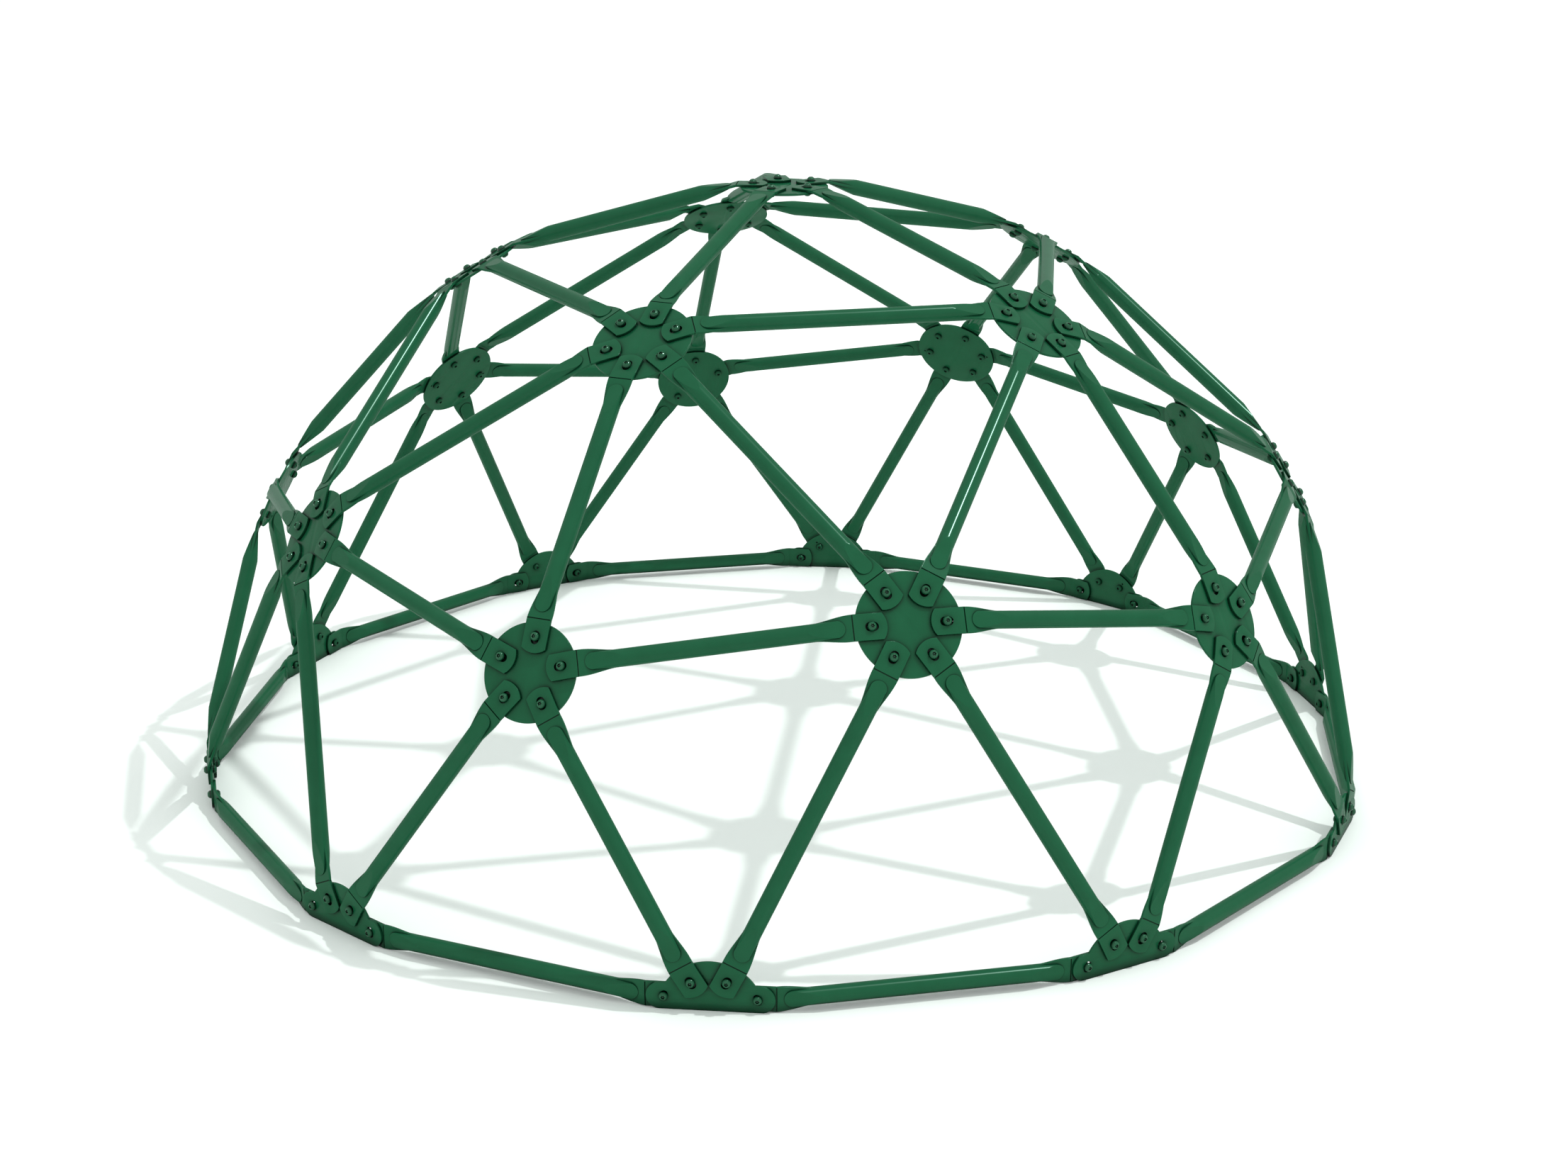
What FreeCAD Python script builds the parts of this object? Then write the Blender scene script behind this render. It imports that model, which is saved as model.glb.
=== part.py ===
import FreeCAD, Part
import math
import os

# Dome climber: a two-frequency geodesic half-sphere of flattened-end tubes bolted to flat plates.
# Frame: origin at the dome's centre on the ground plane, +Z up.  One five-way hub of the middle
# ring faces -Y, so the dome is symmetrical left to right about the YZ plane.  Millimetres.

V = FreeCAD.Vector

# Dome
DOME_R = 1524.0           # centre of the dome to the mid-plane of every plate, at its node
SECTORS = 5

# Tube and its flattened ends
TUBE_R = 20.0
WALL = 3.0
SEAM_GAP = 0.4            # hairline left between the two pressed walls
TAB_T = 2 * WALL + SEAM_GAP
TAB_W = 59.4
TAB_LEN = 76.2            # bend line to the tip of the rounded end
TAB_END_R = 48.0
SLOT_W = 18.9
SLOT_LEN = 29.6
SLOT_FROM_BEND = 41.6
CREASE_W = 1.8            # press line across the outer face at the bend
CREASE_DEPTH = 1.3
NOSE_X = 16.0             # bend line to where the round tube starts to rise from the flat
NOSE_R = 19.0
NOSE_HALF_T = 4.4
FULL_X = 97.0             # bend line to the full round section
FLANGE_START, FLANGE_END = 3.0, 97.0   # the flat part narrows between these
FLANGE_END_HALF = 19.2
SEAM_HALF_W = 22.0

# Plates
PLATE_T = 6.0
SIX_WAY_R = 119.0
FIVE_WAY_R = 112.0
BOLT_HOLE_R = 6.5
INDEX_HOLE_R = 2.5        # marks the short-strut positions on six-way and base plates
INDEX_FROM_BOLT = 16.8

# Where the bolts and bend lines fall, measured along each strut from its node
FIVE_BOLT, FIVE_BEND = 79.2, 118.9
SIX_BOLT, SIX_BEND = 83.8, 125.0
BASE_BOLT, BASE_BEND = 81.5, 121.9
RING_BOLT, RING_BEND = 103.2, 143.6

# Base plate: half disc standing on its straight edge, with a bar and two round lobes
BASE_DISC_R = 117.5
LOBE_R = 31.6
LOBE_X = 110.4
PLATE_SLOT_W = 14.8
PLATE_SLOT_LEN = 25.8
PLATE_SLOT_LEAN = 20.0    # tops of the two slots lean towards each other

# Tamper-resistant button-head bolt and domed barrel nut
SHANK_R = 6.0
NUT_BORE_R = 6.1
NUT_BORE_DEPTH = 6.5
THREAD_IN_NUT = 5.8
HEAD_R = 10.2
HEAD_SIDE = 3.4
HEAD_H = 10.2
SOCKET_OUTER_R = 4.9
SOCKET_INNER_R = 3.0
BOLT_SOCKET_DEPTH = 4.8
NUT_SOCKET_DEPTH = 3.4
PIN_R = 1.4

TAB_OFF = (PLATE_T + TAB_T) / 2


def on_sphere(polar, azimuth):
    a, b = math.radians(polar), math.radians(azimuth)
    return V(math.sin(a) * math.cos(b), math.sin(a) * math.sin(b), math.cos(a))


# The node directions of the icosahedron split once: five-way nodes are its corners,
# six-way nodes are the middles of its edges.
CORNER_POLAR = math.degrees(math.atan(2.0))
UPPER_POLAR = CORNER_POLAR / 2
WAIST_POLAR = math.degrees(math.acos(math.sqrt((5 - math.sqrt(5)) / 10)))
APEX = V(0, 0, 1)
UPPER = [on_sphere(UPPER_POLAR, -90 + 72 * k) for k in range(SECTORS)]
CORNER = [on_sphere(CORNER_POLAR, -90 + 72 * k) for k in range(SECTORS)]
WAIST = [on_sphere(WAIST_POLAR, -54 + 72 * k) for k in range(SECTORS)]
BASE = [on_sphere(90, -108 + 36 * k) for k in range(2 * SECTORS)]

FIVE_WAY = [APEX] + CORNER
SIX_WAY = UPPER + WAIST


def tangent(n, m):
    """Unit direction in the plate plane of node n, towards node m."""
    d = m - n * n.dot(m)
    return d.normalize()


def frame(x, z, origin):
    """Placement whose local X runs along x and local Z along z."""
    y = z.cross(x)
    m = FreeCAD.Matrix(x.x, y.x, z.x, origin.x,
                       x.y, y.y, z.y, origin.y,
                       x.z, y.z, z.z, origin.z,
                       0, 0, 0, 1)
    return FreeCAD.Placement(m)


def placed(shape, placement):
    moved = shape.copy()
    moved.Placement = placement
    return moved


def prism(points, axis, half):
    """Closed polygon swept both ways along a local axis."""
    wire = Part.makePolygon(points + points[:1])
    face = Part.Face(wire)
    face.translate(axis * -half)
    return face.extrude(axis * (2 * half))


# ---------------------------------------------------------------- struts

def flange_half_width(x):
    """Half width of the flattened part as it narrows back to the tube."""
    t = min(max((x - FLANGE_START) / (FLANGE_END - FLANGE_START), 0.0), 1.0)
    spread = TAB_W / 2 - FLANGE_END_HALF
    return FLANGE_END_HALF + spread * 0.5 * (1 + math.cos(math.pi * t))


def flange():
    """Flat part that narrows in a smooth curve and dies into the tube."""
    steps = 10
    reach = FLANGE_END - FLANGE_START
    xs = [FLANGE_START + reach * i / steps for i in range(steps + 1)]
    side = [V(x, flange_half_width(x), 0) for x in xs]
    other = [V(p.x, -p.y, 0) for p in side]
    left = Part.BSplineCurve()
    left.interpolate(side)
    right = Part.BSplineCurve()
    right.interpolate(other)
    edges = [left.toShape(),
             Part.makeLine(side[-1], other[-1]),
             right.toShape(),
             Part.makeLine(other[0], side[0])]
    face = Part.Face(Part.Wire(Part.__sortEdges__(edges)))
    face.translate(V(0, 0, -TAB_T / 2))
    return face.extrude(V(0, 0, TAB_T))


def bent_strip(phi, half_t, half_w, back, reach):
    """Flat strip along X to reach, folded down by phi at the origin and run back."""
    a = math.radians(phi)
    mitre = half_t * math.tan(a / 2)
    tip = V(-back * math.cos(a), 0, -back * math.sin(a))
    across = V(-math.sin(a), 0, math.cos(a)) * half_t
    points = [tip + across, V(-mitre, 0, half_t), V(reach, 0, half_t),
              V(reach, 0, -half_t), V(mitre, 0, -half_t), tip - across]
    return prism(points, V(0, 1, 0), half_w)


def tab(phi):
    """Bent tab with a slot and a shallow round end, and the start of the flat part."""
    strip = bent_strip(phi, TAB_T / 2, TAB_W / 2, TAB_LEN + 2, FLANGE_START)
    centre = V(-(TAB_LEN - TAB_END_R), 0, -TAB_T)
    waste = Part.makeBox(30, TAB_W + 10, 2 * TAB_T, V(-TAB_LEN - 10, -TAB_W / 2 - 5, -TAB_T))
    waste = waste.cut(Part.makeCylinder(TAB_END_R, 2 * TAB_T, centre))
    cutters = [waste, slot_cutter(SLOT_W, SLOT_LEN, 0, V(-SLOT_FROM_BEND, 0, 0))]
    for cutter in cutters:
        cutter.rotate(V(), V(0, 1, 0), -phi)
    return strip.cut(cutters)


def seam(phi):
    """Hairline between the pressed walls, from the tab's end through the bend to the bore."""
    return bent_strip(phi, SEAM_GAP / 2, SEAM_HALF_W, TAB_LEN + 5, NOSE_X + 12)


def slot_cutter(width, length, turn, centre):
    """Round-ended slot, turned from X about Z, centred at a point."""
    r = width / 2
    straight = (length - width) / 2
    bar = Part.makeBox(2 * straight, width, 20, V(-straight, -r, -10))
    ends = [Part.makeCylinder(r, 20, V(s * straight, 0, -10)) for s in (-1, 1)]
    cutter = bar.fuse(ends).removeSplitter()
    cutter.rotate(V(), V(0, 0, 1), turn)
    cutter.translate(centre)
    return cutter


def wedge(length, start_x, start_half, slope, limit):
    """Side profile: two planes that open out from each end to the full section."""
    full_x = start_x + (limit - start_half) / slope
    top = [V(start_x, 0, start_half), V(full_x, 0, limit),
           V(length - full_x, 0, limit), V(length - start_x, 0, start_half)]
    low = [V(p.x, 0, -p.z) for p in reversed(top)]
    return prism(top + low, V(0, 1, 0), 2 * TUBE_R)


def nose_plan(length, start_x, radius, limit):
    """Plan profile: round noses joined by sides that open out to clear the full tube."""
    c, r = start_x + radius, radius
    right = [V(c, r, 0), V(FULL_X, limit, 0), V(length - FULL_X, limit, 0), V(length - c, r, 0)]
    left = [V(p.x, -p.y, 0) for p in reversed(right)]
    edges = [Part.makeLine(a, b) for a, b in zip(right, right[1:])]
    edges.append(Part.Arc(right[-1], V(length - start_x, 0, 0), left[0]).toShape())
    edges += [Part.makeLine(a, b) for a, b in zip(left, left[1:])]
    edges.append(Part.Arc(left[-1], V(start_x, 0, 0), right[0]).toShape())
    face = Part.Face(Part.Wire(edges))
    face.translate(V(0, 0, -2 * TUBE_R))
    return face.extrude(V(0, 0, 4 * TUBE_R))


def swaged_bar(length, radius, start_x, start_half, nose_r):
    """Round bar cut down by sloping planes and a round nose at both ends."""
    slope = (TUBE_R - NOSE_HALF_T) / (FULL_X - NOSE_X)
    bar = Part.makeCylinder(radius, length, V(), V(1, 0, 0))
    bar = bar.common(wedge(length, start_x, start_half, slope, radius + 0.5))
    return bar.common(nose_plan(length, start_x, nose_r, radius + 0.5))


def strut(length, phi_a, phi_b):
    """Tube between bend lines at x = 0 and x = length, outer side up, tabs bent down."""
    inner_start = NOSE_X + WALL
    inner_half = 2.1
    solid = swaged_bar(length, TUBE_R, NOSE_X, NOSE_HALF_T, NOSE_R)
    cuts = [swaged_bar(length, TUBE_R - WALL, inner_start, inner_half, NOSE_R - WALL)]
    adds = []
    for phi, at in ((phi_a, 0), (phi_b, length)):
        crease = Part.makeBox(CREASE_W, TAB_W + 4, CREASE_DEPTH + 1,
                              V(-CREASE_W / 2, -TAB_W / 2 - 2, TAB_T / 2 - CREASE_DEPTH))
        crease.rotate(V(), V(0, 1, 0), -phi / 2)
        group = [flange(), tab(phi), seam(phi), crease]
        if at:
            for s in group:
                s.rotate(V(), V(0, 0, 1), 180)
                s.translate(V(at, 0, 0))
        adds += group[:2]
        cuts += group[2:]
    solid = solid.fuse(adds)
    return solid.cut(cuts).removeSplitter().Solids[0]


def make_strut(cache, n, m, bend_n, bend_m, off=TAB_OFF, height=0.0):
    """Strut between nodes n and m, its tabs lying off the plates' mid-planes."""
    dn, dm = tangent(n, m), tangent(m, n)
    up = V(0, 0, height)
    p = n * (DOME_R + off) + dn * bend_n + up
    q = m * (DOME_R + off) + dm * bend_m + up
    x = (q - p).normalize()
    z = n + m
    z = (z - x * z.dot(x)).normalize()
    phi_n = math.degrees(math.acos(x.dot(dn)))
    phi_m = math.degrees(math.acos(-x.dot(dm)))
    length = (q - p).Length
    key = (round(length, 3), round(phi_n, 4), round(phi_m, 4))
    if key not in cache:
        cache[key] = strut(length, phi_n, phi_m)
    return placed(cache[key], frame(x, z, p))


# ---------------------------------------------------------------- plates

def drilled(plate, holes):
    """Cut round holes, each given as a centre and a radius, through a plate."""
    cutters = [Part.makeCylinder(r, 2 * PLATE_T, V(c.x, c.y, -PLATE_T)) for c, r in holes]
    return plate.cut(cutters)


def in_plane(n, x, d):
    """Plate-frame coordinates of the tangent direction d."""
    return V(d.dot(x), d.dot(n.cross(x)), 0)


def hub_plate(n, neighbours, radius, bolt_r):
    """Round plate; the index holes mark where short struts go on a six-way plate."""
    x = tangent(n, neighbours[0])
    holes = []
    for m in neighbours:
        d = in_plane(n, x, tangent(n, m))
        holes.append((d * bolt_r, BOLT_HOLE_R))
        if len(neighbours) == 6 and is_five_way(m):
            holes.append((d * (bolt_r + INDEX_FROM_BOLT), INDEX_HOLE_R))
    disc = Part.makeCylinder(radius, PLATE_T, V(0, 0, -PLATE_T / 2))
    return placed(drilled(disc, holes), frame(x, n, n * DOME_R))


def base_plate(n, upward):
    """Standing plate: local X horizontal, local Y up, straight edge at Y = 0."""
    half = PLATE_T / 2
    x = V(-n.y, n.x, 0)
    low = V(0, 0, -half)
    disc = Part.makeCylinder(BASE_DISC_R, PLATE_T, low)
    disc = disc.common(Part.makeBox(600, 300, PLATE_T, V(-300, 0, -half)))
    bar = Part.makeBox(2 * LOBE_X, 2 * LOBE_R, PLATE_T, V(-LOBE_X, 0, -half))
    lobes = [Part.makeCylinder(LOBE_R, PLATE_T, V(s * LOBE_X, LOBE_R, -half))
             for s in (-1, 1)]
    plate = disc.fuse([bar] + lobes).removeSplitter()
    holes = []
    for m in upward:
        t = tangent(n, m)
        d = V(t.dot(x), t.z, 0)
        holes.append((d * BASE_BOLT, BOLT_HOLE_R))
        if is_five_way(m):
            holes.append((d * (BASE_BOLT + INDEX_FROM_BOLT), INDEX_HOLE_R))
    slots = [slot_cutter(PLATE_SLOT_W, PLATE_SLOT_LEN, 90 + s * PLATE_SLOT_LEAN,
                         V(s * RING_BOLT, LOBE_R, 0)) for s in (-1, 1)]
    plate = drilled(plate, holes).cut(slots)
    return placed(plate, frame(x, n, n * DOME_R))


# ---------------------------------------------------------------- fasteners

def six_lobe(top, depth):
    """Cutter for a six-pointed driving socket, open at height top."""
    points = []
    for k in range(12):
        r = SOCKET_INNER_R if k % 2 else SOCKET_OUTER_R
        a = math.radians(30 * k)
        points.append(V(r * math.cos(a), r * math.sin(a), top - depth))
    star = Part.Face(Part.makePolygon(points + points[:1]))
    return star.extrude(V(0, 0, depth + 3))


def button_head():
    """Domed head standing on z = 0."""
    mid = V(0.72 * HEAD_R, 0, HEAD_SIDE + 0.7 * (HEAD_H - HEAD_SIDE))
    edges = [Part.makeLine(V(0, 0, 0), V(HEAD_R, 0, 0)),
             Part.makeLine(V(HEAD_R, 0, 0), V(HEAD_R, 0, HEAD_SIDE)),
             Part.Arc(V(HEAD_R, 0, HEAD_SIDE), mid, V(0, 0, HEAD_H)).toShape(),
             Part.makeLine(V(0, 0, HEAD_H), V(0, 0, 0))]
    return Part.Face(Part.Wire(edges)).revolve(V(), V(0, 0, 1), 360)


def bolt():
    """Bolt along Z, underside of the head at z = 0, shank downwards."""
    grip = TAB_T + PLATE_T + THREAD_IN_NUT
    body = button_head().fuse(Part.makeCylinder(SHANK_R, grip, V(0, 0, -grip)))
    body = body.removeSplitter().cut(six_lobe(HEAD_H, BOLT_SOCKET_DEPTH))
    pin = Part.makeCylinder(PIN_R, BOLT_SOCKET_DEPTH - 0.8, V(0, 0, HEAD_H - BOLT_SOCKET_DEPTH))
    return body.fuse(pin).removeSplitter()


def nut():
    """Domed barrel nut, seat at z = 0, dome upwards."""
    body = button_head().cut(Part.makeCylinder(NUT_BORE_R, NUT_BORE_DEPTH, V()))
    return body.cut(six_lobe(HEAD_H, NUT_SOCKET_DEPTH))


def fastener_pair(n, d, along, outer, inner, lift=0.0):
    """Frames for one bolt and its nut; outer and inner are the two clamped faces."""
    at = d * along + V(0, 0, lift)
    bolt_frame = frame(d, n, n * (DOME_R + outer) + at)
    nut_frame = frame(d, n * -1, n * (DOME_R - inner) + at)
    return bolt_frame, nut_frame


# ---------------------------------------------------------------- assembly

def is_five_way(n):
    return any((n - c).Length < 1e-6 for c in FIVE_WAY)


def write(name, shapes):
    shape = shapes[0] if len(shapes) == 1 else Part.makeCompound(shapes)
    shape.exportStep("parts/" + name + ".step")


def neighbours_of(k, ring):
    """Neighbours of each six-way or five-way node, in ring order."""
    before, after = (k - 1) % SECTORS, (k + 1) % SECTORS
    if ring == "upper":
        return [APEX, UPPER[after], WAIST[k], CORNER[k], WAIST[before], UPPER[before]]
    if ring == "corner":
        return [UPPER[k], WAIST[k], BASE[2 * k + 1], BASE[2 * k], WAIST[before]]
    return [UPPER[k], UPPER[after], CORNER[after], BASE[2 * after], BASE[2 * k + 1], CORNER[k]]


def base_uprights(j):
    """The two nodes above base node j: the five-way one, then the six-way one."""
    k = j // 2
    if j % 2:
        return [CORNER[k], WAIST[k]]
    return [CORNER[k], WAIST[(k - 1) % SECTORS]]


def build_struts():
    made = {}
    for k in range(SECTORS):
        after = (k + 1) % SECTORS
        before = (k - 1) % SECTORS
        tag = "_" + str(k + 1)
        left, right = BASE[2 * k], BASE[2 * k + 1]
        write("crown_strut" + tag, [make_strut(made, APEX, UPPER[k], FIVE_BEND, SIX_BEND)])
        write("upper_ring_strut" + tag,
              [make_strut(made, UPPER[k], UPPER[after], SIX_BEND, SIX_BEND)])
        write("upper_rib_strut" + tag,
              [make_strut(made, CORNER[k], UPPER[k], FIVE_BEND, SIX_BEND)])
        write("upper_brace_struts" + tag,
              [make_strut(made, UPPER[k], w, SIX_BEND, SIX_BEND)
               for w in (WAIST[before], WAIST[k])])
        write("middle_ring_struts" + tag,
              [make_strut(made, CORNER[k], w, FIVE_BEND, SIX_BEND)
               for w in (WAIST[before], WAIST[k])])
        write("lower_short_struts" + tag,
              [make_strut(made, CORNER[k], b, FIVE_BEND, BASE_BEND) for b in (left, right)])
        write("lower_long_struts" + tag,
              [make_strut(made, WAIST[k], b, SIX_BEND, BASE_BEND)
               for b in (right, BASE[2 * after])])
        write("base_ring_struts" + tag,
              [make_strut(made, a, b, RING_BEND, RING_BEND, -TAB_OFF, LOBE_R)
               for a, b in ((left, right), (right, BASE[2 * after]))])


def build_plates():
    write("apex_hub_plate", [hub_plate(APEX, UPPER, FIVE_WAY_R, FIVE_BOLT)])
    rings = (("upper_hub_plates", UPPER, "upper", SIX_WAY_R, SIX_BOLT),
             ("five_way_hub_plates", CORNER, "corner", FIVE_WAY_R, FIVE_BOLT),
             ("six_way_hub_plates", WAIST, "waist", SIX_WAY_R, SIX_BOLT))
    for name, nodes, ring, radius, bolt_r in rings:
        write(name, [hub_plate(n, neighbours_of(k, ring), radius, bolt_r)
                     for k, n in enumerate(nodes)])
    for name, first in (("base_plates_left", 0), ("base_plates_right", 1)):
        write(name, [base_plate(BASE[j], base_uprights(j))
                     for j in range(first, 2 * SECTORS, 2)])


def build_fasteners():
    outer = PLATE_T / 2 + TAB_T
    inner = PLATE_T / 2
    apex = [fastener_pair(APEX, tangent(APEX, u), FIVE_BOLT, outer, inner) for u in UPPER]
    hubs = {"apex": apex, "upper": [], "middle": [], "base": []}
    for k in range(SECTORS):
        for ring, group, n, bolt_r in (("upper", "upper", UPPER[k], SIX_BOLT),
                                       ("corner", "middle", CORNER[k], FIVE_BOLT),
                                       ("waist", "middle", WAIST[k], SIX_BOLT)):
            hubs[group] += [fastener_pair(n, tangent(n, m), bolt_r, outer, inner)
                            for m in neighbours_of(k, ring)]
    for j, n in enumerate(BASE):
        hubs["base"] += [fastener_pair(n, tangent(n, m), BASE_BOLT, outer, inner)
                         for m in base_uprights(j)]
        side = V(-n.y, n.x, 0)
        hubs["base"] += [fastener_pair(n, side * s, RING_BOLT, inner, outer, LOBE_R)
                         for s in (-1, 1)]
    one_bolt, one_nut = bolt(), nut()
    for group, pairs in hubs.items():
        write(group + "_bolts", [placed(one_bolt, b) for b, _ in pairs])
        write(group + "_nuts", [placed(one_nut, f) for _, f in pairs])


build_struts()
build_plates()
build_fasteners()
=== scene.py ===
import math
import bmesh
import bpy
from mathutils import Matrix, Vector
from mathutils.geometry import tessellate_polygon


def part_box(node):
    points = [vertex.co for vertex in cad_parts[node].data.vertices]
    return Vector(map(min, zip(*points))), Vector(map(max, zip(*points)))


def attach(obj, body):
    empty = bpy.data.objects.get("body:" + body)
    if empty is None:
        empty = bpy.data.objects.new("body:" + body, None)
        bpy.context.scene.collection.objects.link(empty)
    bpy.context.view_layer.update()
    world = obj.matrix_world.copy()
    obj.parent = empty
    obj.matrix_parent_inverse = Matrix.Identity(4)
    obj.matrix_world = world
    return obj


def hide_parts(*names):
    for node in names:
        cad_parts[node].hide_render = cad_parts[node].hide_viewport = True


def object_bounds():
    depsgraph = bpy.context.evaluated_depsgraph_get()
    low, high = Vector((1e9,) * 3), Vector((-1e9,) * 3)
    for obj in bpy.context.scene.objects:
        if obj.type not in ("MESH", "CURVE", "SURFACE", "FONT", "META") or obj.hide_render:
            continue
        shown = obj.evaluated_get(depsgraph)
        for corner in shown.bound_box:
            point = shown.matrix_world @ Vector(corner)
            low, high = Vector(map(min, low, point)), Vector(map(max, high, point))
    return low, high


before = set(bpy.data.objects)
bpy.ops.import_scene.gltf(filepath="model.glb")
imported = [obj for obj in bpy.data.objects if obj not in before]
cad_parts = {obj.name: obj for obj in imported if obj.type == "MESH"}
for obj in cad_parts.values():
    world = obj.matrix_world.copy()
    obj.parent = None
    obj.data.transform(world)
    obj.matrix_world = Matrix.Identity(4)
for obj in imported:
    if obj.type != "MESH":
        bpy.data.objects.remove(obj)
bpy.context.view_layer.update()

# The dome climber's visual model.  Shapes are built in millimetres in local frames and placed
# in metres.  Every strut, plate and fastener is a closed mesh with rounded edges.
MM = 0.001

# Dome size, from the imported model: the apex plate's mid-plane is one dome radius up.
apex_low, apex_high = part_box("apex_hub_plate")
DOME_R = (apex_low[2] + apex_high[2]) / 2 / MM
PLATE_T = (apex_high[2] - apex_low[2]) / MM
FIVE_WAY_R = (apex_high[1] - apex_low[1]) / 2 / MM
SECTORS = 5

# Tube and tabs.  Distances along a strut are measured from the bend line between tab and tube.
TUBE_R = 20.0
TAB_T = 6.4
TAB_W = 59.4
TAB_LEN = 76.2
TAB_END_R = 48.0
TAB_ROUND = 0.6
SLOT_W, SLOT_LEN, SLOT_FROM_BEND = 18.9, 29.6, 41.6

# Pressed end of the tube: a round-nosed slope that rises to the full tube between flat flanges
NOSE_X, NOSE_R, NOSE_HALF_T, NOSE_SPREAD = 16.0, 19.0, 4.4, 1.5
FULL_X, ROUND_LAP = 97.0, 6
FLANGE_START, FLANGE_END, FLANGE_END_HALF = 3.0, 97.0, 19.2
SIDE_ROUND = 1.1

# Press crease along the bend line, closed by a shallow rim at each side edge
CREASE_HALF, CREASE_DEPTH, CREASE_LIP, CREASE_WALL, CREASE_EDGE = 0.8, 2.6, 0.2, 0.1, 0.25
TAB_LAP = 2.4
LAP_RIM, CREASE_RIM_IN, CREASE_RIM_OUT, LIP_RIM = 0.95, 0.4, 0.15, 0.1
NO_LIMIT = 100.0

# Section stations: distances on the flat part, angles around the nose, then fractions of the slope
FLAT_STATIONS = (3.0, 6.0, 9.5, 12.5, 15.6)
NOSE_STATIONS = (3, 9, 16, 24, 33, 42, 52, 62, 72, 81, 90)
SLOPE_STATIONS = (0.08, 0.17, 0.26, 0.35, 0.44, 0.53, 0.62, 0.7, 0.78, 0.85, 0.91, 0.96, 1.0)

# Segments of arcs and circles
SLOT_END_STEPS, TAB_END_STEPS, BOLT_HOLE_STEPS, INDEX_HOLE_STEPS = 20, 28, 32, 20
LOBE_STEPS, BASE_DISC_STEPS, HUB_DISC_STEPS = 36, 72, 160

# Points across a quarter section: edge rounding, fractions of the flange, tube wall and facet
ROUND_STEPS, TUBE_STEPS, FACET_STEPS = 4, 12, 5
FLANGE_FRACTIONS = (0.02, 0.2, 0.4, 0.6, 0.8, 1.0)

# Plates.  Bolts and bend lines are measured from the hub's centre.
SIX_WAY_R = 119.0
BOLT_HOLE_R = 6.5
INDEX_HOLE_R, INDEX_FROM_BOLT = 2.5, 16.8
FIVE_BOLT, FIVE_BEND = 79.2, 118.9
SIX_BOLT, SIX_BEND = 83.8, 125.0
BASE_BOLT, BASE_BEND = 81.5, 121.9
RING_BOLT, RING_BEND = 103.2, 143.6
BASE_DISC_R, LOBE_R, LOBE_X = 117.5, 31.6, 110.4
PLATE_SLOT_W, PLATE_SLOT_LEN, PLATE_SLOT_LEAN = 14.8, 25.8, 20.0
PLATE_ROUND = 0.6

# Fasteners: button heads and barrel nuts share one dome, with a six-lobed socket in its top
SHANK_R, NUT_BORE_R, NUT_BORE_DEPTH, THREAD_IN_NUT = 6.0, 6.1, 6.5, 5.8
SHANK_CHAMFER = 0.6
HEAD_R, HEAD_SIDE, HEAD_H, HEAD_CHAMFER = 10.2, 3.4, 10.2, 0.35
FLANK_R, FLANK_RISE = 0.72, 0.7
DOME_RING_RADII = (6.2, 7.2, 8.1, 8.9, 9.5, 9.95)
SOCKET_LOBES, SOCKET_MEAN_R, SOCKET_WAVE, SOCKET_ROUND = 6, 3.95, 0.95, 0.25
BOLT_SOCKET_DEPTH, NUT_SOCKET_DEPTH, NUT_SOCKET_FLAT_R = 4.8, 3.4, 1.5
PIN_R, PIN_CHAMFER, PIN_BELOW_TOP = 1.4, 0.4, 0.8
FASTENER_SEGMENTS = 48

TAB_OFF = (PLATE_T + TAB_T) / 2
SHARP_ANGLE = math.radians(25)
WELD_DISTANCE, SLIVER = 2e-6, 1e-6

# Material slots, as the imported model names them
TUBE_SLOT = "green_powder_coat_tube"
PLATE_SLOT = "green_powder_coat_plate"
FASTENER_SLOT = "green_coated_fasteners"


def on_sphere(polar, azimuth):
    a, b = math.radians(polar), math.radians(azimuth)
    return Vector((math.sin(a) * math.cos(b), math.sin(a) * math.sin(b), math.cos(a)))


CORNER_POLAR = math.degrees(math.atan(2.0))
WAIST_POLAR = math.degrees(math.acos(math.sqrt((5 - math.sqrt(5)) / 10)))
APEX = Vector((0, 0, 1))
UPPER = [on_sphere(CORNER_POLAR / 2, -90 + 72 * k) for k in range(SECTORS)]
CORNER = [on_sphere(CORNER_POLAR, -90 + 72 * k) for k in range(SECTORS)]
WAIST = [on_sphere(WAIST_POLAR, -54 + 72 * k) for k in range(SECTORS)]
BASE = [on_sphere(90, -108 + 36 * k) for k in range(2 * SECTORS)]
FIVE_WAY = [APEX] + CORNER


def is_five_way(n):
    return any((n - c).length < 1e-6 for c in FIVE_WAY)


def tangent(n, m):
    """Direction from hub n towards hub m, in the plane of n's plate."""
    return (m - n * n.dot(m)).normalized()


def placement(x, z, origin):
    """4x4 in metres whose local X and Z run along x and z; origin is in millimetres."""
    y = z.cross(x)
    rot = Matrix((x, y, z)).transposed().to_4x4()
    return Matrix.Translation(origin * MM) @ rot


# ---------------------------------------------------------------- mesh helpers

def make_mesh(name, verts, faces):
    """Closed mesh from millimetre vertices, welded, with sharp edges kept by angle."""
    mesh = bpy.data.meshes.new(name)
    mesh.from_pydata([tuple(c * MM for c in v) for v in verts], [], faces)
    bm = bmesh.new()
    bm.from_mesh(mesh)
    bmesh.ops.remove_doubles(bm, verts=bm.verts, dist=WELD_DISTANCE)
    bmesh.ops.dissolve_degenerate(bm, edges=bm.edges, dist=SLIVER)
    bmesh.ops.recalc_face_normals(bm, faces=bm.faces)
    bm.to_mesh(mesh)
    bm.free()
    mesh.shade_smooth()
    mesh.set_sharp_from_angle(angle=SHARP_ANGLE)
    return mesh


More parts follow.
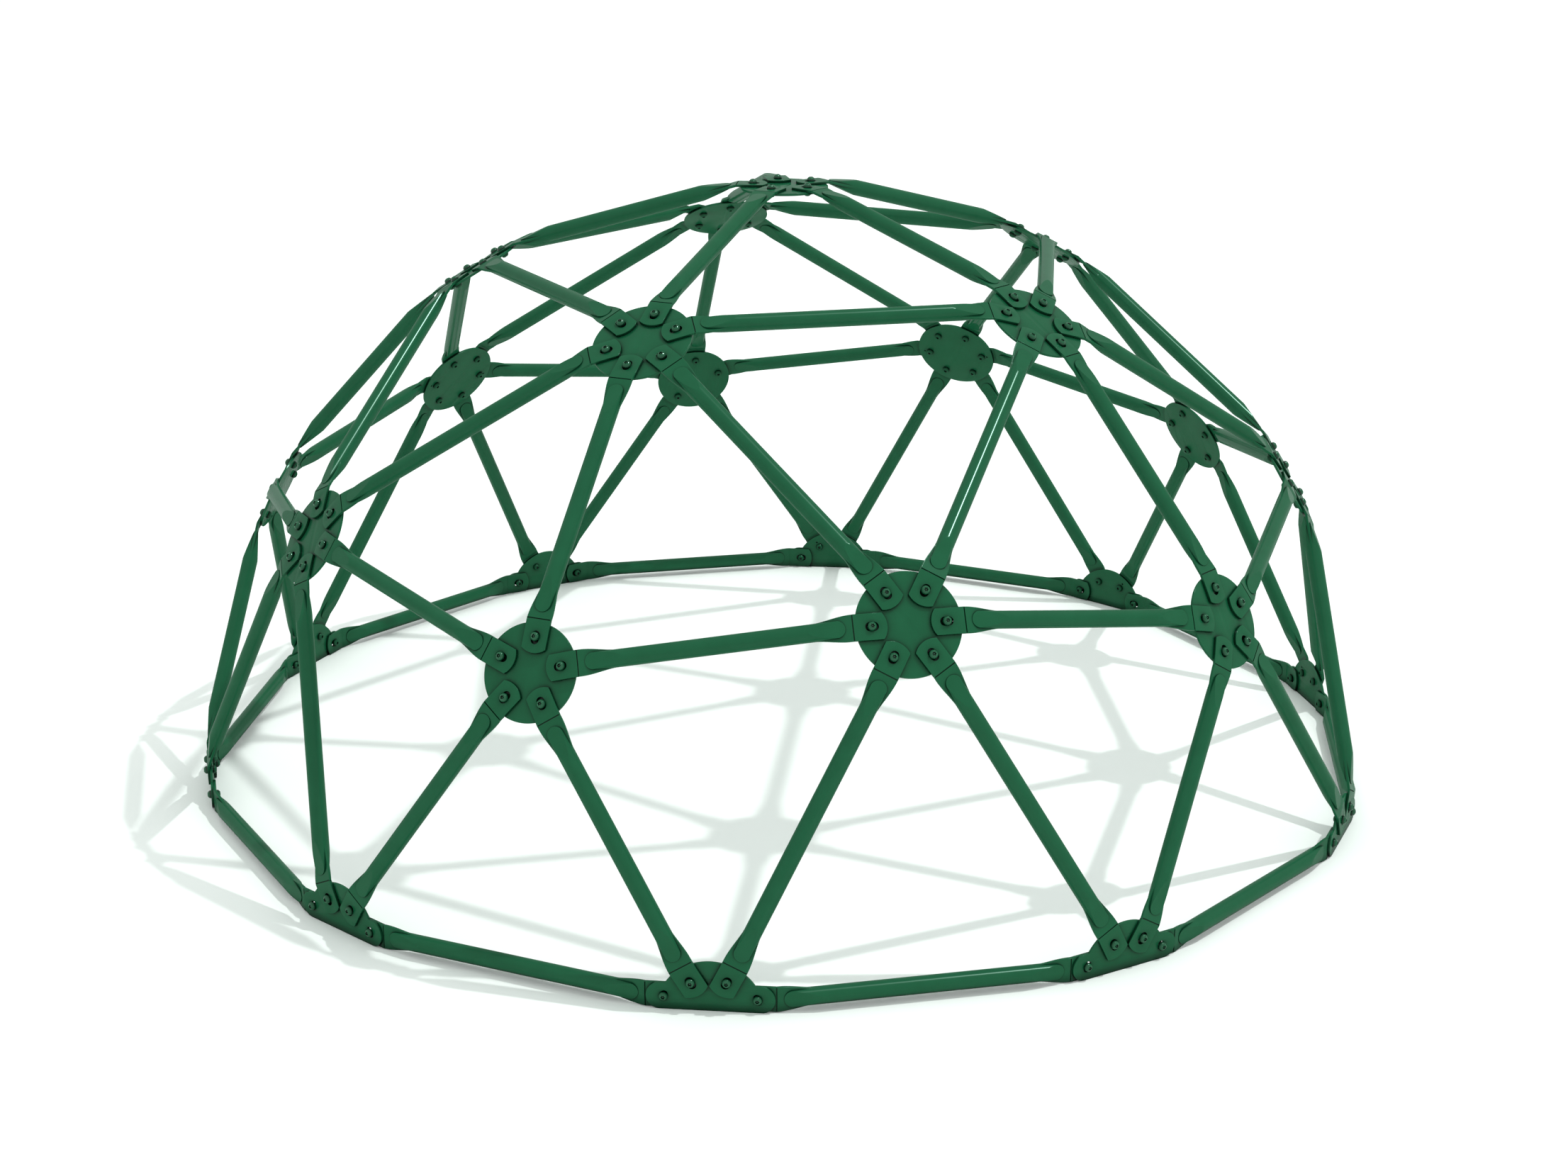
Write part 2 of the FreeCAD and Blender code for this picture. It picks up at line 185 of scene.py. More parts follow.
def join_shells(shells):
    """One vertex and face list from several."""
    verts, faces = [], []
    for v, f in shells:
        base = len(verts)
        verts += v
        faces += [tuple(i + base for i in face) for face in f]
    return verts, faces


def transform(shell, matrix):
    verts, faces = shell
    return [tuple(matrix @ Vector(v)) for v in verts], faces


def inset(loop, distance):
    """Loop moved towards the material on its left by distance, with mitred corners."""
    moved = []
    count = len(loop)
    for i, (x, y) in enumerate(loop):
        ax, ay = loop[i - 1]
        bx, by = loop[(i + 1) % count]
        e1, e2 = Vector((x - ax, y - ay)), Vector((bx - x, by - y))
        n1 = Vector((-e1.y, e1.x)).normalized()
        n2 = Vector((-e2.y, e2.x)).normalized()
        n = (n1 + n2).normalized()
        n *= distance / max(n.dot(n1), 0.5)
        moved.append((x + n.x, y + n.y))
    return moved


def slab(outer, holes, half_t, rounding, steps=4):
    """Flat plate with rounded edges.  outer runs anticlockwise and holes clockwise."""
    verts, faces, rims = [], [], {-1: [], 1: []}
    levels = []
    for i in range(steps + 1):
        a = math.pi / 2 * i / steps
        levels.append((rounding * (1 - math.sin(a)), -half_t + rounding * (1 - math.cos(a))))
    levels += [(d, -z) for d, z in reversed(levels)]
    for loop in [outer] + holes:
        rings = []
        for d, z in levels:
            base = len(verts)
            verts += [(x, y, z) for x, y in inset(loop, d)]
            rings.append(range(base, len(verts)))
        count = len(loop)
        for low, high in zip(rings, rings[1:]):
            for i in range(count):
                j = (i + 1) % count
                faces.append((low[i], low[j], high[j], high[i]))
        rims[-1].append(list(rings[0]))
        rims[1].append(list(rings[-1]))
    for side, loops in rims.items():
        flat = [i for loop in loops for i in loop]
        points = [[Vector(verts[i]) for i in loop] for loop in loops]
        for tri in tessellate_polygon(points):
            ids = [flat[t] for t in tri]
            faces.append(tuple(ids if side > 0 else ids[::-1]))
    return verts, faces


def arc(cx, cy, r, start, end, steps):
    """Points of an arc from start to end degrees, both ends included."""
    out = []
    for i in range(steps + 1):
        a = math.radians(start + (end - start) * i / steps)
        out.append((cx + r * math.cos(a), cy + r * math.sin(a)))
    return out


def circle(cx, cy, r, steps, hole=False):
    points = arc(cx, cy, r, 0, 360, steps)[:-1]
    return points[::-1] if hole else points


def slot_loop(cx, cy, width, length, turn):
    """Round-ended slot as a hole, its long axis turned from X by turn degrees."""
    r, straight = width / 2, (length - width) / 2
    dx, dy = straight * math.cos(math.radians(turn)), straight * math.sin(math.radians(turn))
    points = arc(cx + dx, cy + dy, r, turn - 90, turn + 90, SLOT_END_STEPS)
    points += arc(cx - dx, cy - dy, r, turn + 90, turn + 270, SLOT_END_STEPS)
    return points[::-1]


# ---------------------------------------------------------------- struts

def flange_half_width(x):
    """Half the width at x past the bend, narrowing in a half cosine from the tab to the tube."""
    t = min(max((x - FLANGE_START) / (FLANGE_END - FLANGE_START), 0.0), 1.0)
    spread = TAB_W / 2 - FLANGE_END_HALF
    return FLANGE_END_HALF + spread * 0.5 * (1 + math.cos(math.pi * t))


def nose_and_facet(x):
    """Half-width that the round nose allows at x, and the height of the facet on top."""
    if x < NOSE_X:
        return 0.0, TAB_T / 2
    nose_centre = NOSE_X + NOSE_R
    nose = NOSE_R + NOSE_SPREAD * (x - nose_centre) / (FULL_X - nose_centre)
    if x < nose_centre:
        nose = math.sqrt(NOSE_R ** 2 - (nose_centre - x) ** 2)
    slope = (TUBE_R - NOSE_HALF_T) / (FULL_X - NOSE_X)
    return nose, min(NOSE_HALF_T + slope * (x - NOSE_X), TUBE_R)


def quarter(x, ceiling, rim):
    """Quarter of the section at x past the bend, from its side point to its middle line.

    Heights are held under rim along the side edge and under ceiling elsewhere.
    """
    half_t = TAB_T / 2
    w = flange_half_width(x)
    nose, facet = nose_and_facet(x)

    def tube_y(z):
        return min(nose, math.sqrt(max(TUBE_R ** 2 - z * z, 0.0)))

    flat = half_t - SIDE_ROUND
    sides = [(w, 0.0), (w, flat / 2), (w, flat)]
    for i in range(1, ROUND_STEPS + 1):
        a = math.pi / 2 * i / ROUND_STEPS
        sides.append((w - SIDE_ROUND * (1 - math.cos(a)), flat + SIDE_ROUND * math.sin(a)))
    edge = [(max(y, tube_y(z)), min(z, rim)) for y, z in sides]
    y0, y1 = edge[-1][0], tube_y(half_t)
    points = [(y0 + (y1 - y0) * t, half_t) for t in FLANGE_FRACTIONS]
    low = math.asin(half_t / TUBE_R)
    high = math.asin(facet / TUBE_R)
    for i in range(1, TUBE_STEPS + 1):
        a = low + (high - low) * i / TUBE_STEPS
        points.append((min(nose, TUBE_R * math.cos(a)), TUBE_R * math.sin(a)))
    y2 = points[-1][0]
    points += [(y2 * (1 - i / FACET_STEPS), facet) for i in range(1, FACET_STEPS + 1)]
    return edge + [(y, min(z, ceiling)) for y, z in points]


def section(x, ceiling=NO_LIMIT, rim=NO_LIMIT):
    """Full section loop at x; only its upper half is held under ceiling and rim."""
    top, low = quarter(x, ceiling, rim), quarter(x, NO_LIMIT, NO_LIMIT)
    loop = list(top)
    loop += [(-y, z) for y, z in reversed(top[:-1])]
    loop += [(-y, -z) for y, z in low[1:]]
    loop += [(y, -z) for y, z in reversed(low[1:-1])]
    return loop


def end_stations():
    """Section stations of one end as (x, ceiling, rim), from inside the tab to the round tube."""
    top = TAB_T / 2
    floor = top - CREASE_DEPTH
    nose_centre = NOSE_X + NOSE_R
    slope = FULL_X - nose_centre
    crease = [(-TAB_LAP, floor, top - LAP_RIM),
              (-CREASE_HALF, floor, top - CREASE_RIM_IN),
              (CREASE_HALF - CREASE_WALL, floor, top - CREASE_RIM_OUT),
              (CREASE_HALF, top - CREASE_LIP, top - LIP_RIM),
              (CREASE_HALF + CREASE_EDGE, NO_LIMIT, NO_LIMIT)]
    xs = list(FLAT_STATIONS)
    xs += [nose_centre - NOSE_R * math.cos(math.radians(a)) for a in NOSE_STATIONS]
    xs += [nose_centre + slope * t for t in SLOPE_STATIONS]
    xs.append(FULL_X + ROUND_LAP)
    return crease + [(x, NO_LIMIT, NO_LIMIT) for x in xs]


def end_cap(base, count, flip):
    """Faces that close the section ring starting at vertex base, in strips across its width."""
    half = len(quarter(0.0, 1.0, 1.0))
    faces = [(base, base + 1, base + count - 1)]
    for i in range(1, half * 2 - 2):
        near, far = (count - i) % count, (count - i - 1) % count
        faces.append((base + i, base + i + 1, base + far, base + near))
    faces.append((base + half * 2 - 2, base + half * 2 - 1, base + half * 2 - 3))
    return [face[::-1] for face in faces] if flip else faces


def strut_bar(length):
    """Round tube between its two bend lines, swaged flat at both ends."""
    stations = end_stations()
    rings = [[(x, y, z) for y, z in section(x, ceiling, rim)] for x, ceiling, rim in stations]
    rings.append([(length / 2, y, z) for y, z in section(FULL_X)])
    rings += [[(length - x, y, z) for y, z in section(x, ceiling, rim)]
              for x, ceiling, rim in reversed(stations)]
    verts = [v for ring in rings for v in ring]
    count = len(rings[0])
    faces = []
    for r in range(len(rings) - 1):
        a, b = r * count, (r + 1) * count
        for i in range(count):
            j = (i + 1) % count
            faces.append((a + i, b + i, b + j, a + j))
    faces += end_cap(0, count, False)
    faces += end_cap((len(rings) - 1) * count, count, True)
    return verts, faces


def tab_slab(phi):
    """Slotted tab in the strut's frame, folded down from the bend line by phi radians."""
    h = TAB_W / 2
    centre = -(TAB_LEN - TAB_END_R)
    swing = math.degrees(math.asin(h / TAB_END_R))
    outer = [(-CREASE_HALF, -h), (-CREASE_HALF, h)]
    outer += arc(centre, 0, TAB_END_R, 180 - swing, 180 + swing, TAB_END_STEPS)
    hole = slot_loop(-SLOT_FROM_BEND, 0, SLOT_W, SLOT_LEN, 0)
    shell = slab(outer, [hole], TAB_T / 2, TAB_ROUND)
    return transform(shell, Matrix.Rotation(-phi, 4, "Y"))


def strut_mesh(length, phi_a, phi_b):
    """Bar with a tab folded down at each end, its first bend line at the local origin."""
    turn = Matrix.Translation((length, 0, 0)) @ Matrix.Rotation(math.pi, 4, "Z")
    shells = [strut_bar(length), tab_slab(phi_a), transform(tab_slab(phi_b), turn)]
    return make_mesh("strut", *join_shells(shells))


STRUTS = {}


def add_strut(name, node_name, n, m, bend_n, bend_m, off=TAB_OFF, height=0.0):
    """Strut from hub n to hub m, its bend lines bend_n and bend_m along the two plates.

    Tabs lie off from the plates' mid-planes, and height lifts the strut; equal struts share a mesh.
    """
    dn, dm = tangent(n, m), tangent(m, n)
    up = Vector((0, 0, height))
    p = n * (DOME_R + off) + dn * bend_n + up
    q = m * (DOME_R + off) + dm * bend_m + up
    x = (q - p).normalized()
    z = n + m
    z = (z - x * z.dot(x)).normalized()
    phi_n, phi_m = math.acos(x.dot(dn)), math.acos(-x.dot(dm))
    length = (q - p).length
    key = (round(length, 2), round(phi_n, 4), round(phi_m, 4))
    if key not in STRUTS:
        STRUTS[key] = strut_mesh(length, phi_n, phi_m)
    add_piece(name, node_name, TUBE_SLOT, STRUTS[key], placement(x, z, p))


# ---------------------------------------------------------------- plates

def strut_holes(u, v, bolt_r, indexed):
    """Bolt hole for the strut that leaves along (u, v), and an index hole past it if indexed."""
    holes = [circle(u * bolt_r, v * bolt_r, BOLT_HOLE_R, BOLT_HOLE_STEPS, True)]
    if indexed:
        r = bolt_r + INDEX_FROM_BOLT
        holes.append(circle(u * r, v * r, INDEX_HOLE_R, INDEX_HOLE_STEPS, True))
    return holes


def hub_plate_mesh(n, neighbours, radius, bolt_r):
    """Round plate; on six-way plates the struts to five-way hubs have index holes."""
    x = tangent(n, neighbours[0])
    y = n.cross(x)
    holes = []
    for m in neighbours:
        d = tangent(n, m)
        indexed = len(neighbours) == 6 and is_five_way(m)
        holes += strut_holes(d.dot(x), d.dot(y), bolt_r, indexed)
    disc = circle(0, 0, radius, HUB_DISC_STEPS)
    shell = slab(disc, holes, PLATE_T / 2, PLATE_ROUND)
    return make_mesh("hub_plate", *shell), placement(x, n, n * DOME_R)


def base_plate_mesh(n, upward):
    """Half disc, bar and lobes as one outline, anticlockwise from the lower right."""
    x = Vector((-n.y, n.x, 0))
    lift = math.degrees(math.asin(2 * LOBE_R / BASE_DISC_R))
    outer = arc(LOBE_X, LOBE_R, LOBE_R, -90, 90, LOBE_STEPS)
    outer += arc(0, 0, BASE_DISC_R, lift, 180 - lift, BASE_DISC_STEPS)
    outer += arc(-LOBE_X, LOBE_R, LOBE_R, 90, 270, LOBE_STEPS)
    holes = []
    for m in upward:
        d = tangent(n, m)
        holes += strut_holes(d.dot(x), d.z, BASE_BOLT, is_five_way(m))
    for side in (-1, 1):
        holes.append(slot_loop(side * RING_BOLT, LOBE_R, PLATE_SLOT_W, PLATE_SLOT_LEN,
                               90 + side * PLATE_SLOT_LEAN))
    shell = slab(outer, holes, PLATE_T / 2, PLATE_ROUND)
    return make_mesh("base_plate", *shell), placement(x, n, n * DOME_R)


# ---------------------------------------------------------------- fasteners

def dome_height(r):
    """Height of the button head's dome at radius r, on a circle through rim, flank and top."""
    ax, az = HEAD_R, HEAD_SIDE
    bx, bz = FLANK_R * HEAD_R, HEAD_SIDE + FLANK_RISE * (HEAD_H - HEAD_SIDE)
    d = 2 * (ax * (bz - HEAD_H) + bx * (HEAD_H - az))
    sa, sb, sc = ax * ax + az * az, bx * bx + bz * bz, HEAD_H ** 2
    cx = (sa * (bz - HEAD_H) + sb * (HEAD_H - az) + sc * (az - bz)) / d
    cz = (sa * -bx + sb * ax + sc * (bx - ax)) / d
    radius = math.hypot(ax - cx, az - cz)
    return cz + math.sqrt(max(radius ** 2 - (r - cx) ** 2, 0.0))


def turned(rings, segments, top, bottom):
    """Closed solid of revolution; each ring gives radius and height for an angle."""
    verts = [(0, 0, top)]
    for ring in rings:
        for i in range(segments):
            a = 2 * math.pi * i / segments
            r, z = ring(a)
            verts.append((r * math.cos(a), r * math.sin(a), z))
    verts.append((0, 0, bottom))
    faces = []
    for i in range(segments):
        j = (i + 1) % segments
        faces.append((0, 1 + i, 1 + j))
        for k in range(len(rings) - 1):
            a, b = 1 + k * segments, 1 + (k + 1) * segments
            faces.append((a + i, b + i, b + j, a + j))
        last = 1 + (len(rings) - 1) * segments
        faces.append((last + i, len(verts) - 1, last + j))
    return verts, faces


def fixed(r, z):
    """Round ring of radius r at height z."""
    return lambda a: (r, z)


def star(extra, z=None):
    """Lobed socket ring, extra wider than the socket, at height z or lying on the dome."""
    def ring(a):
        r = SOCKET_MEAN_R + SOCKET_WAVE * math.cos(SOCKET_LOBES * a) + extra
        return r, dome_height(r) - max(0.0, SOCKET_ROUND - extra) if z is None else z
    return ring


def dome_rings():
    """Rings from the socket's mouth over the dome and down the side to the seat."""
    rings = [star(0.0), star(0.12), star(0.3)]
    rings += [fixed(r, dome_height(r)) for r in DOME_RING_RADII]
    rings += [fixed(HEAD_R, HEAD_SIDE), fixed(HEAD_R, HEAD_CHAMFER)]
    return rings + [fixed(HEAD_R - HEAD_CHAMFER, 0.0)]


def bolt_shell():
    """Button-head bolt, seated at height 0 with its shank below and a pin in its socket."""
    base = HEAD_H - BOLT_SOCKET_DEPTH
    pin_top = HEAD_H - PIN_BELOW_TOP
    grip = TAB_T + PLATE_T + THREAD_IN_NUT
    rings = [fixed(PIN_R * 0.6, pin_top), fixed(PIN_R, pin_top - PIN_CHAMFER)]
    rings += [fixed(PIN_R, base), star(0.0, base)]
    rings += dome_rings()
    rings += [fixed(SHANK_R, 0.0), fixed(SHANK_R, SHANK_CHAMFER - grip)]
    rings.append(fixed(SHANK_R - SHANK_CHAMFER, -grip))
    return turned(rings, FASTENER_SEGMENTS, pin_top, -grip)


def nut_shell():
    """Domed barrel nut, seated at height 0 with its bore open below."""
    base = HEAD_H - NUT_SOCKET_DEPTH
    rings = [fixed(NUT_SOCKET_FLAT_R, base), star(0.0, base)]
    rings += dome_rings()
    rings += [fixed(NUT_BORE_R, 0.0), fixed(NUT_BORE_R, NUT_BORE_DEPTH)]
    return turned(rings, FASTENER_SEGMENTS, base, NUT_BORE_DEPTH)


def fastener_frames(n, d, along, outer, inner, lift=0.0):
    """Frames (x, z, origin) of a bolt and its nut, along d from hub n's centre.

    outer and inner are the bolt's and the nut's seats, measured from the plate's mid-plane.
    """
    at = d * along + Vector((0, 0, lift))
    bolt_at = (d, n, n * (DOME_R + outer) + at)
    nut_at = (d, -n, n * (DOME_R - inner) + at)
    return bolt_at, nut_at


# ---------------------------------------------------------------- materials

# A lighter and a darker green of the coat, which its mottling varies between at random, and the
# darker greens of the nuts
FACE, SHADE = (0.0075, 0.091, 0.0385), (0.0065, 0.084, 0.035)
# The nuts' greens are darker than the coat's as painted shade, standing for the shadow on their
# flanks beside the plate
PAINTED_SHADE_NUT_FACE, PAINTED_SHADE_NUT_SHADE = (0.0062, 0.077, 0.033), (0.0054, 0.070, 0.029)
SKIN, HEAD_SKIN = (0.28, 0.20), (0.6, 0.10)

PIECE_SHIFT = 7.0
MOTTLE_SCALE, MOTTLE_FROM, MOTTLE_TO = 22.0, 0.35, 0.68
# Painted shade: an occlusion lookup of this reach in metres with these samples; occlusion at the
# clear value or above leaves the colour, at the black point or below it gives the darkest factor
PAINTED_SHADE_REACH, PAINTED_SHADE_SAMPLES, PAINTED_SHADE_CLEAR, PAINTED_SHADE_DARKEST = 0.03, 8, 0.99, 0.04
GLOSS_SCALE = 60.0
PEEL_SCALE, PEEL_HEIGHT = 420.0, 0.0006


def node(tree, kind, x, y, **settings):
    """New shader node at (x, y) in the editor."""
    made = tree.nodes.new(kind)
    made.location = (x, y)
    for key, value in settings.items():
        setattr(made, key, value)
    return made


def noise(tree, x, y, scale, detail, vector):
    made = node(tree, "ShaderNodeTexNoise", x, y)
    made.inputs["Scale"].default_value = scale
    made.inputs["Detail"].default_value = detail
    tree.links.new(vector, made.inputs["Vector"])
    return made.outputs["Fac"]


def map_range(tree, x, y, value, source, target):
    made = node(tree, "ShaderNodeMapRange", x, y)
    made.inputs["From Min"].default_value, made.inputs["From Max"].default_value = source
    made.inputs["To Min"].default_value, made.inputs["To Max"].default_value = target
    tree.links.new(value, made.inputs["Value"])
    return made.outputs["Result"]


def piece_coordinates(tree):
    """Object coordinates, shifted by a random amount for each piece."""
    coords = node(tree, "ShaderNodeTexCoord", -1100, 0)
    info = node(tree, "ShaderNodeObjectInfo", -1100, -300)
    spread = node(tree, "ShaderNodeVectorMath", -1000, -300, operation="SCALE")
    shift = node(tree, "ShaderNodeVectorMath", -900, 0, operation="ADD")
    spread.inputs["Scale"].default_value = PIECE_SHIFT
    tree.links.new(info.outputs["Random"], spread.inputs[0])
    tree.links.new(coords.outputs["Object"], shift.inputs[0])
    tree.links.new(spread.outputs[0], shift.inputs[1])
    return shift.outputs[0]


def coat_colour(tree, at, face, shade, shade_black_point):
    """Slight mottling between two greens, with painted shade that darkens it where surfaces close
    in on each other.
    """
    ramp = node(tree, "ShaderNodeValToRGB", -450, 300)
    low, high = ramp.color_ramp.elements
    low.position, low.color = MOTTLE_FROM, (*shade, 1)
    high.position, high.color = MOTTLE_TO, (*face, 1)
    tree.links.new(noise(tree, -700, 300, MOTTLE_SCALE, 5.0, at), ramp.inputs["Fac"])
    # Painted shade in recesses, creases and between parts, from ambient occlusion
    corners = node(tree, "ShaderNodeAmbientOcclusion", -450, 560)
    corners.samples = PAINTED_SHADE_SAMPLES
    corners.inputs["Distance"].default_value = PAINTED_SHADE_REACH
    painted_shade = map_range(tree, -250, 560, corners.outputs["AO"],
                     (shade_black_point, PAINTED_SHADE_CLEAR), (PAINTED_SHADE_DARKEST, 1.0))
    tint = node(tree, "ShaderNodeMix", -50, 400, data_type="RGBA", blend_type="MULTIPLY")
    tint.inputs["Factor"].default_value = 1.0
    tree.links.new(ramp.outputs["Color"], tint.inputs["A"])
    tree.links.new(painted_shade, tint.inputs["B"])
    return tint.outputs["Result"]


def powder_coat(name, face, shade, roughness, peel, shade_black_point, skin=SKIN):
    """Semi-gloss powder coat with orange peel of strength peel under a thin clear skin, its colour
    darkened by painted shade where surfaces close in.

    skin holds the clear skin's weight and roughness.
    """
    mat = bpy.data.materials.new(name)
    mat.use_nodes = True
    tree = mat.node_tree
    tree.nodes.clear()
    link = tree.links.new
    out = node(tree, "ShaderNodeOutputMaterial", 900, 0)
    bsdf = node(tree, "ShaderNodeBsdfPrincipled", 600, 0)
    at = piece_coordinates(tree)
    link(coat_colour(tree, at, face, shade, shade_black_point), bsdf.inputs["Base Color"])

    gloss = noise(tree, -700, -50, GLOSS_SCALE, 4.0, at)
    rough = map_range(tree, -450, -50, gloss, (0.0, 1.0), (roughness - 0.05, roughness + 0.07))
    link(rough, bsdf.inputs["Roughness"])

    bump = node(tree, "ShaderNodeBump", 300, -350)
    bump.inputs["Strength"].default_value = peel
    bump.inputs["Distance"].default_value = PEEL_HEIGHT
    link(noise(tree, -700, -350, PEEL_SCALE, 2.0, at), bump.inputs["Height"])
    link(bump.outputs["Normal"], bsdf.inputs["Normal"])
    link(bump.outputs["Normal"], bsdf.inputs["Coat Normal"])

    bsdf.inputs["Specular IOR Level"].default_value = 0.0
    bsdf.inputs["Coat Weight"].default_value, bsdf.inputs["Coat Roughness"].default_value = skin
    link(bsdf.outputs[0], out.inputs["Surface"])
    return mat


# The last number of each coat is the black point of its painted shade
MATERIALS = {
    TUBE_SLOT: powder_coat("powder_coat_tube", FACE, SHADE, 0.34, 0.04, 0.30),
    PLATE_SLOT: powder_coat("powder_coat_plate", FACE, SHADE, 0.40, 0.05, 0.34),
    FASTENER_SLOT: powder_coat("coated_fastener", FACE, SHADE, 0.28, 0.02, 0.45, HEAD_SKIN),
}
# The nuts' coat: the fastener green made darker, with stronger painted shade in its recesses
PAINTED_SHADE_NUT_COAT = powder_coat("coated_nut_painted_shade", PAINTED_SHADE_NUT_FACE, PAINTED_SHADE_NUT_SHADE, 0.45, 0.02, 0.5)


# ---------------------------------------------------------------- assembly

def add_piece(name, node_name, slot_name, mesh, matrix):
    """Visible piece in place of part of a node; nothing moves, so it rides on the root."""
    if not mesh.materials:
        mesh.materials.append(MATERIALS[slot_name])
    piece = bpy.data.objects.new(name, mesh)
    bpy.context.scene.collection.objects.link(piece)
    piece.matrix_world = matrix
    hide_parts(node_name)
    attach(piece, "root")


def neighbours_of(k, ring):
    """Hubs around hub k of a ring, in order around its plate."""
    before, after = (k - 1) % SECTORS, (k + 1) % SECTORS
    if ring == "upper":
        return [APEX, UPPER[after], WAIST[k], CORNER[k], WAIST[before], UPPER[before]]
    if ring == "corner":
        return [UPPER[k], WAIST[k], BASE[2 * k + 1], BASE[2 * k], WAIST[before]]
    return [UPPER[k], UPPER[after], CORNER[after], BASE[2 * after], BASE[2 * k + 1], CORNER[k]]


def base_uprights(j):
    """The two middle-ring hubs above base plate j."""
    k = j // 2
    if j % 2:
        return [CORNER[k], WAIST[k]]
    return [CORNER[k], WAIST[(k - 1) % SECTORS]]


def build_struts():
    for k in range(SECTORS):
        after, before = (k + 1) % SECTORS, (k - 1) % SECTORS
        left, right, last = BASE[2 * k], BASE[2 * k + 1], BASE[2 * after]
        single = (("crown_strut", APEX, UPPER[k], FIVE_BEND, SIX_BEND),
                  ("upper_ring_strut", UPPER[k], UPPER[after], SIX_BEND, SIX_BEND),
                  ("upper_rib_strut", CORNER[k], UPPER[k], FIVE_BEND, SIX_BEND))
        for family, n, m, bn, bm in single:
            name = f"{family}_{k + 1}"
            add_strut(name + ".bar", name, n, m, bn, bm)
        pairs = (("upper_brace_struts", UPPER[k], (WAIST[before], WAIST[k]), SIX_BEND, SIX_BEND),
                 ("middle_ring_struts", CORNER[k], (WAIST[before], WAIST[k]), FIVE_BEND, SIX_BEND),
                 ("lower_short_struts", CORNER[k], (left, right), FIVE_BEND, BASE_BEND),
                 ("lower_long_struts", WAIST[k], (right, last), SIX_BEND, BASE_BEND))
        for family, n, ends, bn, bm in pairs:
            name = f"{family}_{k + 1}"
            for side, m in zip(("a", "b"), ends):
                add_strut(f"{name}.{side}", name, n, m, bn, bm)
        name = f"base_ring_struts_{k + 1}"
        for side, n, m in (("a", left, right), ("b", right, last)):
            add_strut(f"{name}.{side}", name, n, m, RING_BEND, RING_BEND, -TAB_OFF, LOBE_R)


def build_plates():
    mesh, matrix = hub_plate_mesh(APEX, UPPER, FIVE_WAY_R, FIVE_BOLT)
    add_piece("apex_hub_plate.disc", "apex_hub_plate", PLATE_SLOT, mesh, matrix)
    rings = (("upper_hub_plates", UPPER, "upper", SIX_WAY_R, SIX_BOLT),
             ("five_way_hub_plates", CORNER, "corner", FIVE_WAY_R, FIVE_BOLT),
             ("six_way_hub_plates", WAIST, "waist", SIX_WAY_R, SIX_BOLT))
    for name, nodes, ring, radius, bolt_r in rings:
        for k, n in enumerate(nodes):
            mesh, matrix = hub_plate_mesh(n, neighbours_of(k, ring), radius, bolt_r)
            add_piece(f"{name}.{k + 1}", name, PLATE_SLOT, mesh, matrix)
    for name, first in (("base_plates_left", 0), ("base_plates_right", 1)):
        for j in range(first, 2 * SECTORS, 2):
            mesh, matrix = base_plate_mesh(BASE[j], base_uprights(j))
            add_piece(f"{name}.{j // 2 + 1}", name, PLATE_SLOT, mesh, matrix)


def fastener_groups():
    """Frames of every bolt and nut, by the ring of hubs that they belong to."""
    outer, inner = PLATE_T / 2 + TAB_T, PLATE_T / 2
    apex = [fastener_frames(APEX, tangent(APEX, u), FIVE_BOLT, outer, inner) for u in UPPER]
    groups = {"apex": apex, "upper": [], "middle": [], "base": []}
    for k in range(SECTORS):
        for ring, group, n, bolt_r in (("upper", "upper", UPPER[k], SIX_BOLT),
                                       ("corner", "middle", CORNER[k], FIVE_BOLT),
                                       ("waist", "middle", WAIST[k], SIX_BOLT)):
            groups[group] += [fastener_frames(n, tangent(n, m), bolt_r, outer, inner)
                              for m in neighbours_of(k, ring)]
    for j, n in enumerate(BASE):
        side = Vector((-n.y, n.x, 0))
        groups["base"] += [fastener_frames(n, tangent(n, m), BASE_BOLT, outer, inner)
                           for m in base_uprights(j)]
        groups["base"] += [fastener_frames(n, side * s, RING_BOLT, inner, outer, LOBE_R)
                           for s in (-1, 1)]
    return groups


def build_fasteners():
    shells = (("bolts", bolt_shell()), ("nuts", nut_shell()))
    for group, pairs in fastener_groups().items():
        for which, (kind, shell) in enumerate(shells):
            name = f"{group}_{kind}"
            placed = []
            for pair in pairs:
                x, z, origin = pair[which]
                rot = Matrix((x, z.cross(x), z)).transposed().to_4x4()
                placed.append(transform(shell, Matrix.Translation(origin) @ rot))
            mesh = make_mesh(name, *join_shells(placed))
            # Nuts take the darker coat, whose extra darkness is painted shade
            if kind == "nuts":
                mesh.materials.append(PAINTED_SHADE_NUT_COAT)
            add_piece(name + ".set", name, FASTENER_SLOT, mesh, Matrix.Identity(4))


build_struts()
build_plates()
build_fasteners()


# ---------------------------------------------------------------- floor, light and camera

FLOOR_SIZE = 60.0
FLOOR_LOW, FLOOR_HIGH = (0.875, 0.945, 0.908), (0.885, 0.955, 0.918)

# Directions are azimuth and elevation in degrees, from the middle of the dome's base.
KEY = {"at": (27.1, 63.5), "distance": 27.8, "irradiance": 1.3, "angle": 1.2, "tint": (1, 1, 1)}
GLINT = {"at": (20.0, 69.0), "distance": 60.0, "irradiance": 3.2, "angle": 1.0,
         "tint": (0.62, 1.0, 0.84)}

# The camera's distance and the height it aims at are in dome radii.
CAMERA_AZIMUTH, CAMERA_ELEVATION = -65.997, 18.998
CAMERA_DISTANCE, TARGET_HEIGHT = 4.5114, 0.29429
CAMERA_SENSOR, CAMERA_LENS = 36.0, 59.06


